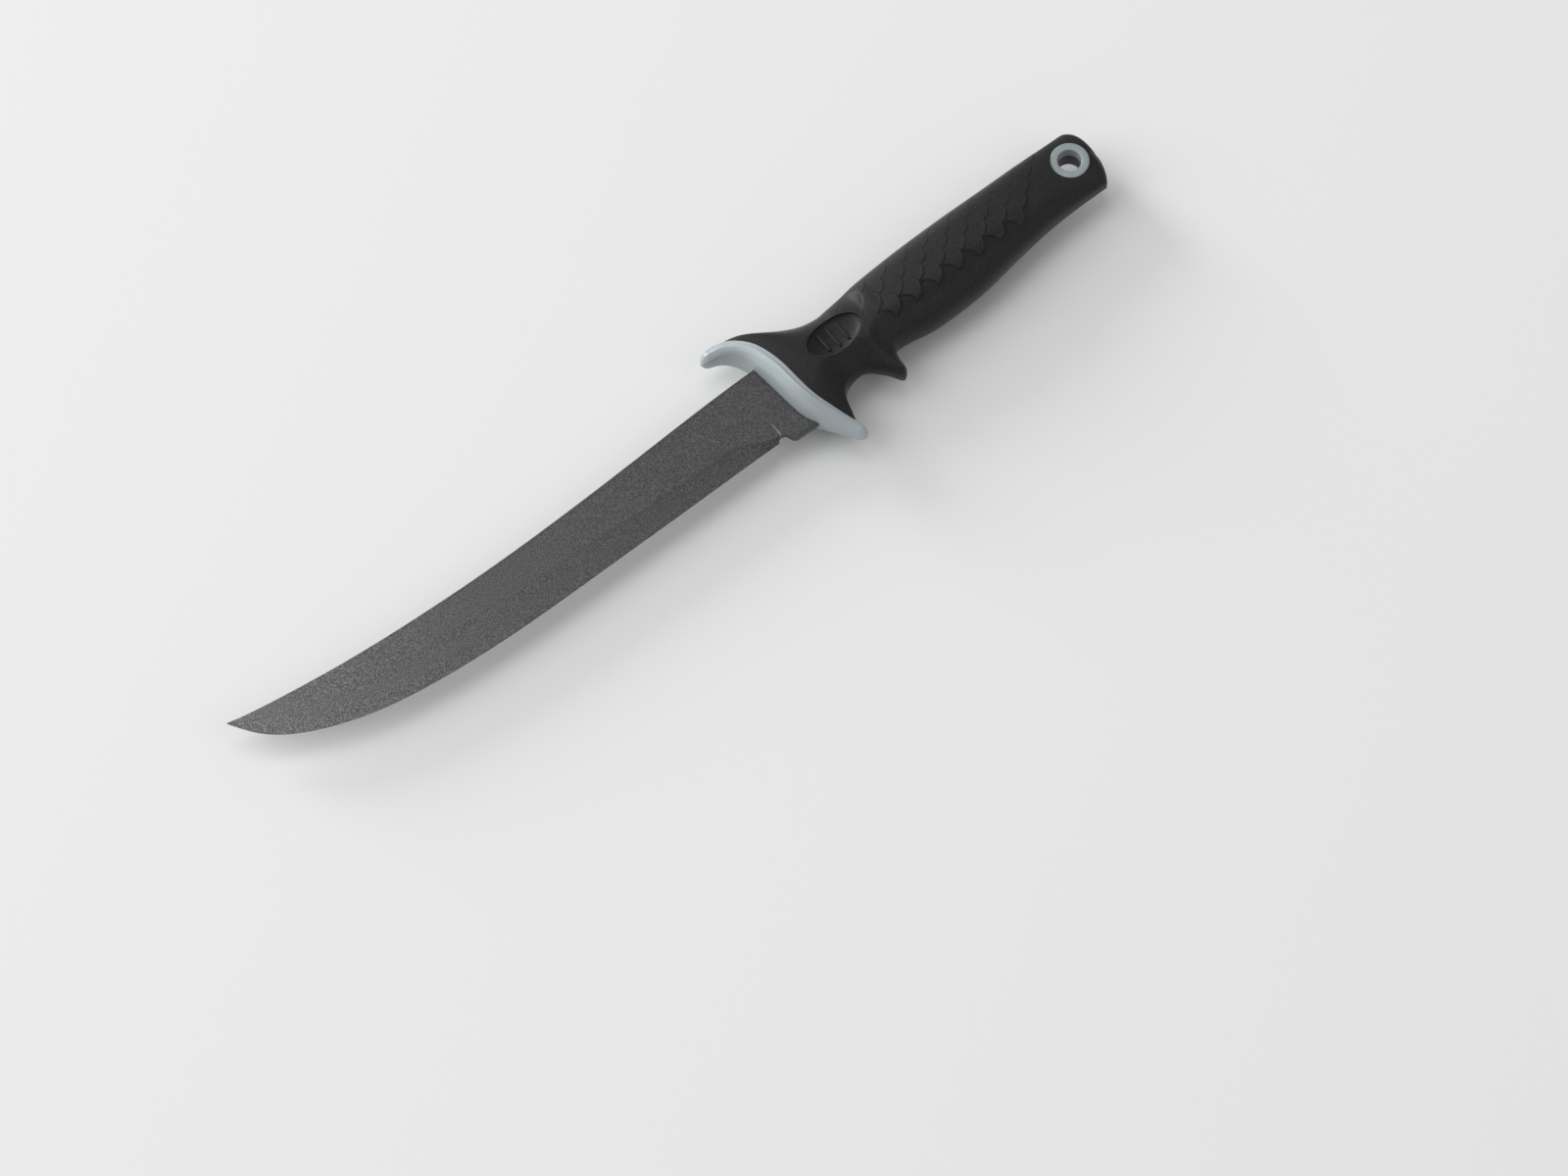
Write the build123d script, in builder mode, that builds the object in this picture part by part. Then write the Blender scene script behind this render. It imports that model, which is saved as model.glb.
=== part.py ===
from build123d import *
import os
from math import cos, pi, sin

# Fillet knife lying on its side. X runs from the tip to the butt, Y from the
# cutting edge to the spine and Z out of the side that faces up. Millimetres.
# Heights are counted from the middle of the guard, places along the knife from
# the guard line, where the spine of the blade meets the guard.

# Driving dimensions
blade_length = 225.7  # from the tip back to the guard line
blade_width = 27.8  # from the spine to the cutting edge at the heel
blade_thickness = 2.5  # at the heel, before the distal taper
handle_length = 149.6  # from the guard line to the end of the butt
guard_span = 61.0  # from tip to tip of the guard, square to the handle
guard_sweep = 30.0  # how far the lower tip lies behind the upper one
guard_depth = 7.0  # front to back through the guard
guard_thickness = 23.0  # across the flats of the knife
grip_depth = 31.9  # from the back to the belly of the palm swell
palm_thickness = 22.0  # across the flats of the knife at the palm swell
lanyard_hole_diameter = 8.4

# Fits
fit_clearance = 0.1  # between pieces that are pushed together

# Blade
edge_thickness = 0.3
slit_width = 0.45
slit_length = 5.2
slit_rise = 4.1  # middle of the slit above the edge at the heel
slit_setback = 2.1  # from the front of the notch back to the slit
blade_sections = 26  # closer together towards the tip
spine_share = 0.502  # height of the spine at the guard
ricasso_share = -0.598  # height of the blunt heel at the guard
# Rows from the guard to the tip: place, spine, grind line, edge, thickness.
blade_shares = [
    (0.041, 0.495, -0.208, -0.505, 1.00),
    (0.222, 0.414, -0.203, -0.538, 0.95),
    (0.399, 0.337, -0.162, -0.568, 0.87),
    (0.554, 0.309, -0.112, -0.584, 0.78),
    (0.687, 0.330, -0.041, -0.536, 0.70),
    (0.798, 0.382, 0.061, -0.410, 0.60),
    (0.886, 0.456, 0.203, -0.189, 0.48),
    (0.948, 0.524, 0.375, 0.086, 0.36),
    (0.975, 0.562, 0.467, 0.294, 0.28),
    (1.000, 0.607, 0.601, 0.593, 0.20),
]
# Notch between the cutting edge and the blunt heel.
notch_shares = [(0.041, -0.505), (0.034, -0.448), (0.025, -0.459), (0.019, -0.568), (0.012, -0.598)]

# Heel and tang
seat_depth = 3.8  # how far behind the guard line the heel ends at the spine
heel_lean = 5.1  # how much further back the heel ends at the edge
tang_depth = 14.0  # back to belly of the tang
tang_eye_wall = 1.7  # steel left round the bushing

# Guard
# Its middle line is one long S, from the upper tip that leans over the blade
# to the lower tip that leans back over the fingers.
guard_line_shares = [
    (-0.395, 0.467),
    (-0.286, 0.449),
    (-0.140, 0.419),
    (-0.017, 0.366),
    (0.077, 0.294),
    (0.133, 0.196),
    (0.163, 0.097),
    (0.177, -0.009),
    (0.215, -0.129),
    (0.311, -0.247),
    (0.432, -0.353),
    (0.550, -0.453),
    (0.599, -0.505),
]
# Its sections along that line, closer together at the round tips. Rows: place
# from the upper tip to the lower, half depth, half thickness.
guard_section_shares = [
    (0.006, 0.155, 0.075),
    (0.020, 0.282, 0.140),
    (0.045, 0.398, 0.200),
    (0.100, 0.457, 0.262),
    (0.170, 0.476, 0.322),
    (0.250, 0.491, 0.391),
    (0.330, 0.495, 0.452),
    (0.420, 0.500, 0.490),
    (0.500, 0.500, 0.498),
    (0.580, 0.500, 0.498),
    (0.670, 0.495, 0.474),
    (0.750, 0.486, 0.422),
    (0.830, 0.437, 0.330),
    (0.900, 0.403, 0.248),
    (0.955, 0.359, 0.185),
    (0.980, 0.267, 0.135),
    (0.994, 0.146, 0.075),
]
guard_squareness = 2.4

# Grip
grip_wall = 3.6  # soft grip over the rim of the core
flare_squareness = 2.2
# Flare behind the guard, which leans with it. Rows: back, belly, half
# thickness. Back and belly are each a place along the handle and a height.
flare_shares = [
    ((-0.045, 0.480), (0.110, -0.427), 0.480),
    ((0.031, 0.454), (0.118, -0.369), 0.465),
    ((0.097, 0.360), (0.127, -0.278), 0.435),
    ((0.150, 0.295), (0.153, -0.200), 0.410),
]
# Rows from the neck to the butt: place, back, belly, half thickness, squareness.
grip_shares = [
    (0.200, 0.518, -0.321, 0.410, 2.2),
    (0.267, 0.551, -0.320, 0.423, 2.2),
    (0.334, 0.593, -0.312, 0.455, 2.3),
    (0.401, 0.621, -0.350, 0.486, 2.3),
    (0.468, 0.641, -0.360, 0.500, 2.4),
    (0.535, 0.655, -0.345, 0.495, 2.4),
    (0.602, 0.660, -0.307, 0.477, 2.5),
    (0.668, 0.659, -0.247, 0.445, 2.6),
    (0.735, 0.661, -0.195, 0.400, 2.7),
    (0.802, 0.666, -0.152, 0.350, 2.9),
    (0.869, 0.667, -0.131, 0.291, 3.2),
    (0.930, 0.668, -0.126, 0.245, 3.4),
    (0.969, 0.663, -0.122, 0.237, 3.4),
    (0.987, 0.612, -0.010, 0.205, 3.0),
    (0.996, 0.555, 0.093, 0.160, 2.6),
    (1.000, 0.478, 0.185, 0.095, 2.4),
]
# Finger spur under the grip. Rows from its root to its point: height, front
# and back along the handle, half thickness.
spur_squareness = 2.3
spur_shares = [
    (-0.206, 0.205, 0.316, 0.280),
    (-0.329, 0.220, 0.303, 0.255),
    (-0.422, 0.239, 0.298, 0.225),
    (-0.504, 0.256, 0.295, 0.190),
    (-0.591, 0.269, 0.292, 0.155),
    (-0.643, 0.276, 0.288, 0.110),
    (-0.660, 0.279, 0.284, 0.050),
]

# Core
core_front = 13.0  # where the core starts behind the guard line
core_end_margin = 3.6  # soft grip behind the core
core_thickness = 10.0  # both halves together
core_butt_thickness = 6.0
core_taper_shares = (0.75, 0.85)  # where the core thins, along the handle

# Tang rivets
rivet_shank_diameter = 4.0
rivet_head_diameter = 7.2
rivet_head_height = 1.2
rivet_shares = {"front": 0.36, "middle": 0.53, "rear": 0.70}  # along the handle

# Lanyard bushing
bushing_setback = 10.2  # from the end of the butt to the middle of the hole
bushing_share = 0.321  # height of the middle of the hole
bushing_wall = 1.0
bushing_length = 10.8
flange_width = 2.65  # ring that shows round the hole
flange_thickness = 1.3
flange_rounding = 0.4

# Thumb pads
pad_x = 29.4  # from the guard line to the middle of the pad
pad_share = 0.152  # height of the middle of the pad
pad_length = 22.0
pad_width = 13.3
pad_thickness = 2.2
pad_ridge_count = 3
pad_ridge_length = 8.0
pad_ridge_width = 1.0
pad_ridge_height = 0.7
pad_ridge_pitch = 4.3

# Places worked out from the sizes above
rest_height = max(guard_thickness, palm_thickness) / 2
shoulder_x = (blade_length - handle_length) / 2
side = Plane(origin=(shoulder_x, 0, rest_height))
spine = spine_share * blade_width
ricasso = ricasso_share * blade_width
edge_heel = notch_shares[0][1] * blade_width
heel_x = -notch_shares[0][0] * blade_length
bushing_place = (handle_length - bushing_setback, bushing_share * grip_depth)
bushing_radius = lanyard_hole_diameter / 2 + bushing_wall
tang_start = grip_depth * (grip_shares[0][1] + grip_shares[0][2]) / 2
tang_slope = (bushing_place[1] - tang_start) / bushing_place[0]
rivet_places = {
    name: (share * handle_length, tang_start + tang_slope * share * handle_length)
    for name, share in rivet_shares.items()
}
pad_place = (pad_x, pad_share * grip_depth)


def across(x):
    """Plane square to the handle, x behind the guard line, its own X towards the spine."""
    return Plane(origin=side.from_local_coords((x, 0, 0)), x_dir=(0, 1, 0), z_dir=(1, 0, 0))


def rounded_section(plane, half_height, half_width, squareness):
    """Section between an ellipse and a rectangle: the squarer, the fuller its corners."""
    points = []
    for turn in [pi * eighth / 8 for eighth in range(16)]:
        height = half_height * abs(cos(turn)) ** (2 / squareness)
        width = half_width * abs(sin(turn)) ** (2 / squareness)
        points.append((height if cos(turn) > 0 else -height, width if sin(turn) > 0 else -width))
    with BuildSketch(plane) as section:
        with BuildLine():
            Spline(*points, periodic=True)
        make_face()
    return section.sketch


def section_between(start, end, half_width, squareness):
    """Rounded section that stands on the side plane, from one point of it to another."""
    start, end = side.from_local_coords(start), side.from_local_coords(end)
    reach = end - start
    plane = Plane(origin=(start + end) / 2, x_dir=reach, z_dir=(reach.Y, -reach.X, 0))
    return rounded_section(plane, reach.length / 2, half_width, squareness)


def row_between(rows, place):
    """Values at a place, on the smooth curve through the four rows nearest to it."""
    passed = len([row for row in rows if row[0] <= place])
    first = max(0, min(passed - 2, len(rows) - 4))
    near = rows[first : first + 4]
    values = [0] * (len(near[0]) - 1)
    for row in near:
        weight = 1
        for other in near:
            if other is not row:
                weight *= (place - other[0]) / (row[0] - other[0])
        values = [value + weight * column for value, column in zip(values, row[1:])]
    return values


def guard_line():
    """Middle line of the guard seen from the side."""
    return Spline(*[(x * guard_sweep, y * guard_span) for x, y in guard_line_shares])


def guard_block():
    """The whole guard before the blade's slot is cut."""
    with BuildPart() as block:
        with BuildLine(side) as middle:
            guard_line()
        line = middle.line.edges()[0]
        for place, depth, thickness in guard_section_shares:
            along = line % place
            plane = Plane(origin=line @ place, x_dir=(along.Y, -along.X, 0), z_dir=along)
            half_depth, half_thickness = depth * guard_depth, thickness * guard_thickness
            add(rounded_section(plane, half_depth, half_thickness, guard_squareness))
        loft()
    return block.part


def front_block():
    """All the room in front of the guard's middle line."""
    with BuildPart() as block:
        with BuildSketch(side):
            with BuildLine():
                line = guard_line()
                Polyline(
                    line @ 1,
                    (line @ 1) - (0, guard_span),
                    (-guard_span, -guard_span),
                    (-guard_span, guard_span),
                    (line @ 0) + (0, guard_span),
                    line @ 0,
                )
            make_face()
        extrude(amount=guard_thickness, both=True)
    return block.part


def steel_outline(margin):
    """Heel, tang and eye of the blade seen from the side, grown by a margin."""
    half_tang = tang_depth / 2 + margin
    with BuildSketch(side) as outline:
        Polygon(
            (heel_x, spine + margin),
            (seat_depth + margin, spine + margin),
            (seat_depth + heel_lean + margin, ricasso - margin),
            (heel_x, ricasso - margin),
            align=None,
        )
        Polygon(
            (0, tang_start + half_tang),
            (bushing_place[0], bushing_place[1] + half_tang),
            (bushing_place[0], bushing_place[1] - half_tang),
            (0, tang_start - half_tang),
            align=None,
        )
        with Locations(bushing_place):
            Circle(bushing_radius + fit_clearance + tang_eye_wall + margin)
    return outline.sketch


def steel_room():
    """Space for the heel and the tang in the pieces that hold them."""
    with BuildPart() as room:
        add(steel_outline(fit_clearance))
        extrude(amount=blade_thickness / 2 + fit_clearance, both=True)
    return room.part


def core_block():
    """Both core halves as one block, with its flats closer together at the butt."""
    core_end = handle_length - core_end_margin
    inner = [row for row in grip_shares if core_front < row[0] * handle_length < core_end]
    top = [(row[0] * handle_length, row[1] * grip_depth - grip_wall) for row in inner]
    bottom = [(row[0] * handle_length, row[2] * grip_depth + grip_wall) for row in inner]
    top = [(core_front, top[0][1]), *top, (core_end, top[-1][1])]
    bottom = [(core_front, bottom[0][1]), *bottom, (core_end, bottom[-1][1])]
    taper_start, taper_end = [share * handle_length for share in core_taper_shares]
    with BuildPart() as block:
        with BuildSketch(side):
            Polygon(*top, *reversed(bottom), align=None)
        extrude(amount=core_thickness, both=True)
        with BuildSketch(Plane(origin=side.origin, x_dir=(1, 0, 0), z_dir=(0, -1, 0))):
            Polygon(
                (core_front, core_thickness / 2),
                (taper_start, core_thickness / 2),
                (taper_end, core_butt_thickness / 2),
                (core_end, core_butt_thickness / 2),
                (core_end, -core_butt_thickness / 2),
                (taper_end, -core_butt_thickness / 2),
                (taper_start, -core_thickness / 2),
                (core_front, -core_thickness / 2),
                align=None,
            )
        extrude(amount=guard_span, both=True, mode=Mode.INTERSECT)
    return block.part


os.makedirs("parts", exist_ok=True)
guard_shape = guard_block()
steel_space = steel_room()
core_shape = core_block()
front_space = front_block()

# Blade
with BuildPart() as blade:
    heel_place, tip_place = blade_shares[0][0], blade_shares[-1][0]
    for step in range(blade_sections):
        turn = pi / 2 * step / (blade_sections - 1)
        place = heel_place + (tip_place - heel_place) * sin(turn)
        back, grind, edge, thin = row_between(blade_shares, place)
        half = blade_thickness * thin / 2
        half_edge = min(edge_thickness, half) / 2
        with BuildSketch(across(-place * blade_length)):
            Polygon(
                (back * blade_width, half),
                (grind * blade_width, half),
                (edge * blade_width, half_edge),
                (edge * blade_width, -half_edge),
                (grind * blade_width, -half),
                (back * blade_width, -half),
                align=None,
            )
    loft(ruled=True)
    add(steel_outline(0))
    extrude(amount=blade_thickness / 2, both=True)
    with BuildSketch(side):
        with BuildLine():
            notch = Spline(*[(-x * blade_length, y * blade_width) for x, y in notch_shares])
            Polyline(notch @ 1, (notch @ 1) - (0, blade_width), (notch @ 0) - (0, blade_width), notch @ 0)
        make_face()
        with Locations((heel_x + slit_setback, edge_heel + slit_rise)):
            Rectangle(slit_width, slit_length)
        with Locations(bushing_place):
            Circle(bushing_radius + fit_clearance)
        with Locations(*rivet_places.values()):
            Circle(rivet_shank_diameter / 2 + fit_clearance)
    extrude(amount=blade_thickness, both=True, mode=Mode.SUBTRACT)
blade.part.label = "blade"
export_step(blade.part, "parts/blade.step")

# Guard
with BuildPart() as guard:
    add(guard_shape)
    add(steel_space, mode=Mode.SUBTRACT)
guard.part.label = "guard"
export_step(guard.part, "parts/guard.step")

# Core halves
for name, keep, outward in (("core_left", Keep.TOP, 1), ("core_right", Keep.BOTTOM, -1)):
    with BuildPart() as half_core:
        add(core_shape)
        split(bisect_by=side, keep=keep)
        add(steel_space, mode=Mode.SUBTRACT)
        with BuildSketch(side):
            with Locations(bushing_place):
                Circle(bushing_radius + fit_clearance)
            with Locations(*rivet_places.values()):
                Circle(rivet_shank_diameter / 2 + fit_clearance)
        extrude(amount=core_thickness, both=True, mode=Mode.SUBTRACT)
        with BuildSketch(side.offset(outward * core_thickness / 2)):
            with Locations(*rivet_places.values()):
                Circle(rivet_head_diameter / 2 + fit_clearance)
        extrude(amount=-outward * rivet_head_height, mode=Mode.SUBTRACT)
    half_core.part.label = name
    export_step(half_core.part, f"parts/{name}.step")

# Tang rivets
for name, place in rivet_places.items():
    with BuildPart() as rivet:
        with BuildSketch(side):
            with Locations(place):
                Circle(rivet_shank_diameter / 2)
        extrude(amount=core_thickness / 2, both=True)
        for outward in (1, -1):
            with BuildSketch(side.offset(outward * core_thickness / 2)):
                with Locations(place):
                    Circle(rivet_head_diameter / 2)
            extrude(amount=-outward * rivet_head_height)
    rivet.part.label = f"tang_rivet_{name}"
    export_step(rivet.part, f"parts/tang_rivet_{name}.step")

# Lanyard bushing
with BuildPart() as lanyard_bushing:
    with BuildSketch(side):
        with Locations(bushing_place):
            Circle(bushing_radius)
    extrude(amount=bushing_length / 2, both=True)
    for outward in (1, -1):
        with BuildSketch(side.offset(outward * bushing_length / 2)):
            with Locations(bushing_place):
                Circle(lanyard_hole_diameter / 2 + flange_width)
        extrude(amount=-outward * flange_thickness)
    outer_rims = lanyard_bushing.edges().filter_by(GeomType.CIRCLE).sort_by(Axis.Z)
    fillet([outer_rims[0], outer_rims[-1]], radius=flange_rounding)
    with BuildSketch(side):
        with Locations(bushing_place):
            Circle(lanyard_hole_diameter / 2)
    extrude(amount=bushing_length, both=True, mode=Mode.SUBTRACT)
lanyard_bushing.part.label = "lanyard_bushing"
export_step(lanyard_bushing.part, "parts/lanyard_bushing.step")

# Thumb pads
for name, outward in (("thumb_pad_left", 1), ("thumb_pad_right", -1)):
    seat = side.offset(outward * core_thickness / 2)
    with BuildPart() as thumb_pad:
        with BuildSketch(seat):
            with Locations(pad_place):
                Ellipse(pad_length / 2, pad_width / 2)
        extrude(amount=outward * pad_thickness)
        with BuildSketch(seat):
            with Locations(pad_place):
                with GridLocations(pad_ridge_pitch, 0, pad_ridge_count, 1):
                    SlotOverall(pad_ridge_length, pad_ridge_width, rotation=90)
        extrude(amount=outward * (pad_thickness + pad_ridge_height))
    thumb_pad.part.label = name
    export_step(thumb_pad.part, f"parts/{name}.step")

# Grip
with BuildPart() as grip:
    for back, belly, half in flare_shares:
        add(section_between(
            (belly[0] * handle_length, belly[1] * guard_span),
            (back[0] * handle_length, back[1] * guard_span),
            half * guard_thickness,
            flare_squareness,
        ))
    for place, back, belly, half, squareness in grip_shares:
        add(section_between(
            (place * handle_length, belly * grip_depth),
            (place * handle_length, back * grip_depth),
            half * palm_thickness,
            squareness,
        ))
    loft()
    for height, front, back, half in spur_shares:
        add(section_between(
            (front * handle_length, height * grip_depth),
            (back * handle_length, height * grip_depth),
            half * palm_thickness,
            spur_squareness,
        ))
    loft()
    add(front_space, mode=Mode.SUBTRACT)
    add(guard_shape, mode=Mode.SUBTRACT)
    add(steel_space, mode=Mode.SUBTRACT)
    add(core_shape, mode=Mode.SUBTRACT)
    with BuildSketch(side):
        with Locations(bushing_place):
            Circle(bushing_radius + fit_clearance)
    extrude(amount=palm_thickness, both=True, mode=Mode.SUBTRACT)
    for outward in (1, -1):
        with BuildSketch(side.offset(outward * (bushing_length / 2 - flange_thickness))):
            with Locations(bushing_place):
                Circle(lanyard_hole_diameter / 2 + flange_width + fit_clearance)
        extrude(amount=outward * palm_thickness, mode=Mode.SUBTRACT)
        with BuildSketch(side.offset(outward * core_thickness / 2)):
            with Locations(pad_place):
                Ellipse(pad_length / 2 + fit_clearance, pad_width / 2 + fit_clearance)
        extrude(amount=outward * palm_thickness, mode=Mode.SUBTRACT)
grip.part.label = "grip"
export_step(grip.part, "parts/grip.step")
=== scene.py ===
import bmesh
import bpy
import numpy as np
from mathutils import Matrix, Vector
from mathutils.bvhtree import BVHTree


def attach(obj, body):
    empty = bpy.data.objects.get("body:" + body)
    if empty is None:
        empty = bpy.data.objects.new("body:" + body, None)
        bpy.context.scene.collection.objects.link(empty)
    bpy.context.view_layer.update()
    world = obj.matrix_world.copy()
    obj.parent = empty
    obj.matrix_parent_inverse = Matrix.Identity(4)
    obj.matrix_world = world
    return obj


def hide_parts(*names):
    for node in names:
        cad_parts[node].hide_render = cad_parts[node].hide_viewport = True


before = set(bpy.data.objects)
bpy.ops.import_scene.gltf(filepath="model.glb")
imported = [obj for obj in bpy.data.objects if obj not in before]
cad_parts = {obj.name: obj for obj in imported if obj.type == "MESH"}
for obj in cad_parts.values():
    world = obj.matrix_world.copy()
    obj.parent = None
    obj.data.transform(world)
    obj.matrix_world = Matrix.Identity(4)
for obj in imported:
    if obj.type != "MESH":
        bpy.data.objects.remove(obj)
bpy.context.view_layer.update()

mm = 0.001

# Shapes are drawn in millimetres: x back from the guard line, where the spine meets the guard,
# y up from the middle of the guard towards the spine, z out from the middle plane of the blade.
knife = {
    "guardLine": 38.05,  # guard line behind the middle of the knife
    "middlePlane": 11.5,  # above the floor
}


def toFrame(points):
    return (np.asarray(points, float) + (knife["guardLine"], 0, knife["middlePlane"])) * mm


def smoothCurve(places, values):
    # natural cubic spline through the rows of values
    x = np.asarray(places, float)
    y = np.asarray(values, float).reshape(len(x), -1)
    gap = np.diff(x)
    slope = np.diff(y, axis=0) / gap[:, None]
    system = np.eye(len(x))
    known = np.zeros_like(y)
    for i in range(1, len(x) - 1):
        system[i, i - 1:i + 2] = gap[i - 1], 2 * (gap[i - 1] + gap[i]), gap[i]
        known[i] = 6 * (slope[i] - slope[i - 1])
    bend = np.linalg.solve(system, known)

    def at(place):
        t = np.clip(np.asarray(place, float), x[0], x[-1])
        k = np.clip(np.searchsorted(x, t, side="right") - 1, 0, len(x) - 2)
        d = gap[k][..., None]
        b = ((t - x[k]) / gap[k])[..., None]
        a = 1 - b
        return a * y[k] + b * y[k + 1] + ((a**3 - a) * bend[k] + (b**3 - b) * bend[k + 1]) * d**2 / 6

    return at


def chordPlaces(points):
    # distance run along a row of points
    steps = np.linalg.norm(np.diff(np.asarray(points, float), axis=0), axis=1)
    return np.concatenate([[0], np.cumsum(steps)])


def ease(value, start, end):
    t = np.clip((np.asarray(value, float) - start) / (end - start), 0, 1)
    return t * t * (3 - 2 * t)


def roundOff(share, squareness):
    # rises from 0 to 1 as a quarter of a superellipse does
    t = 1 - np.clip(share, 0, 1)
    return np.maximum(1 - t**squareness, 0) ** (1 / squareness)


def spread(pairs):
    # places at a chosen spacing: pairs of a place and the spacing from there on
    out = []
    for (start, gap), (end, _) in zip(pairs, pairs[1:]):
        out.append(np.linspace(start, end, max(2, int(round((end - start) / gap)) + 1))[:-1])
    return np.concatenate(out + [[pairs[-1][0]]])


def zipFaces(ring, half):
    # closes a ring whose second half mirrors the first
    upper = ring[:half]
    lower = np.concatenate([ring[:1], ring[half:][::-1], ring[half - 1:half]])
    quads = [[upper[i], upper[i + 1], lower[i + 1], lower[i]] for i in range(half - 1)]
    return [[int(corner) for corner in dict.fromkeys(quad)] for quad in quads]


def meshObject(name, points, faces):
    mesh = bpy.data.meshes.new(name)
    mesh.from_pydata(toFrame(points).tolist(), [], faces)
    work = bmesh.new()
    work.from_mesh(mesh)
    bmesh.ops.remove_doubles(work, verts=work.verts, dist=0.002 * mm)
    bmesh.ops.recalc_face_normals(work, faces=work.faces)
    work.to_mesh(mesh)
    work.free()
    mesh.shade_smooth()
    piece = bpy.data.objects.new(name, mesh)
    bpy.context.scene.collection.objects.link(piece)
    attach(piece, "root")
    return piece


def ringFaces(rows, columns, caps=(True, True)):
    # quads between rings of points, the two ends closed where asked
    index = np.arange(rows * columns).reshape(rows, columns)
    following = np.roll(index, -1, axis=1)
    quads = np.stack([index[:-1], index[1:], following[1:], following[:-1]], -1)
    faces = quads.reshape(-1, 4).tolist()
    for wanted, ring in zip(caps, (index[0], index[-1])):
        if wanted:
            faces.append(ring.tolist())
    return faces


# Camera: a long lens, high over the knife's edge side
camera = {
    "aim": (-4.02, -59.35, 11.5),  # point of the knife's frame in the middle of the picture, mm
    "distance": 3023.4,  # mm
    "elevation": 64.5,
    "turn": 37.586,  # of the picture's right edge from the knife's length
    "lens": 200,
    "sensor": 36,
}


def makeCamera():
    turn, tilt = np.radians(camera["turn"]), np.radians(camera["elevation"])
    right = Vector((np.cos(turn), -np.sin(turn), 0))
    forward = Vector((np.cos(tilt) * np.sin(turn), np.cos(tilt) * np.cos(turn), -np.sin(tilt)))
    up = right.cross(forward)
    data = bpy.data.cameras.new("camera")
    data.lens, data.sensor_width = camera["lens"], camera["sensor"]
    data.clip_start, data.clip_end = 0.1, 20
    item = bpy.data.objects.new("camera", data)
    bpy.context.scene.collection.objects.link(item)
    where = (Vector(camera["aim"]) - forward * camera["distance"]) * mm
    turned = Matrix((right, up, -forward)).transposed().to_4x4()
    item.matrix_world = Matrix.Translation(where) @ turned
    bpy.context.scene.camera = item


makeCamera()
print("stage: camera")

# Studio: pale floor, soft overhead light
studio = {
    "floorColor": (0.87, 0.87, 0.87),
    "floorSize": 12.0,  # m
    "ambient": 0.34,
    # direction from the knife, distance and size in m, share of the light on a level face
    "lamps": {
        "key": ((-0.85, 0.62, 0.90), 5.0, 5.6, 0.37),
        "top": ((0.10, 0.30, 1.0), 5.0, 2.6, 0.10),
        "rim": ((-0.25, 1.00, 0.30), 5.0, 2.0, 0.18),
        "fill": ((0.45, -0.80, 0.9), 5.0, 3.4, 0.05),
    },
}


def makeStudio():
    half = studio["floorSize"] / 2
    mesh = bpy.data.meshes.new("floor")
    corners = [(-half, -half, 0), (half, -half, 0), (half, half, 0), (-half, half, 0)]
    mesh.from_pydata(corners, [], [(0, 1, 2, 3)])
    floor = bpy.data.objects.new("floor", mesh)
    bpy.context.scene.collection.objects.link(floor)
    paint = bpy.data.materials.new("paleFloor")
    paint.use_nodes = True
    shader = paint.node_tree.nodes["Principled BSDF"]
    shader.inputs["Base Color"].default_value = (*studio["floorColor"], 1)
    shader.inputs["Roughness"].default_value = 1
    shader.inputs["Specular IOR Level"].default_value = 0
    mesh.materials.append(paint)
    for name, (toward, distance, size, share) in studio["lamps"].items():
        aim = Vector(toward).normalized()
        data = bpy.data.lights.new(name, "AREA")
        data.shape, data.size = "DISK", size
        data.energy = share * np.pi**2 * distance**2 / aim.z
        lamp = bpy.data.objects.new(name, data)
        bpy.context.scene.collection.objects.link(lamp)
        lamp.location = aim * distance
        lamp.rotation_mode = "QUATERNION"
        lamp.rotation_quaternion = aim.to_track_quat("Z", "Y")
    world = bpy.data.worlds.new("studio")
    bpy.context.scene.world = world
    world.use_nodes = True
    sky = world.node_tree.nodes["Background"]
    sky.inputs["Color"].default_value = (1, 1, 1, 1)
    sky.inputs["Strength"].default_value = studio["ambient"]


makeStudio()
bpy.context.scene.view_settings.view_transform = "Standard"
print("stage: studio")


# Finishes
def startMaterial(name, color, roughness, specular=0.5, sheen=0.0):
    material = bpy.data.materials.new(name)
    material.use_nodes = True
    shader = material.node_tree.nodes["Principled BSDF"]
    shader.inputs["Base Color"].default_value = (*color, 1)
    shader.inputs["Roughness"].default_value = roughness
    shader.inputs["Specular IOR Level"].default_value = specular
    shader.inputs["Sheen Weight"].default_value = sheen
    shader.inputs["Sheen Roughness"].default_value = 0.35
    return material, material.node_tree.nodes, material.node_tree.links, shader


def noiseNode(nodes, links, featureSize, detail=2.0, roughness=0.5, stretch=(1, 1, 1)):
    # noise in the knife's own frame, its features about featureSize mm across
    where = nodes.new("ShaderNodeTexCoord")
    scaled = nodes.new("ShaderNodeVectorMath")
    scaled.operation = "MULTIPLY"
    scaled.inputs[1].default_value = stretch
    noise = nodes.new("ShaderNodeTexNoise")
    noise.inputs["Scale"].default_value = 1 / (featureSize * mm)
    noise.inputs["Detail"].default_value = detail
    noise.inputs["Roughness"].default_value = roughness
    links.new(where.outputs["Object"], scaled.inputs[0])
    links.new(scaled.outputs["Vector"], noise.inputs["Vector"])
    return noise


def rampNode(nodes, links, source, stops):
    ramp = nodes.new("ShaderNodeValToRGB")
    elements = ramp.color_ramp.elements
    while len(elements) < len(stops):
        elements.new(0.5)
    for element, (position, color) in zip(elements, stops):
        element.position = position
        element.color = (*color, 1)
    links.new(source, ramp.inputs["Fac"])
    return ramp


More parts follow.
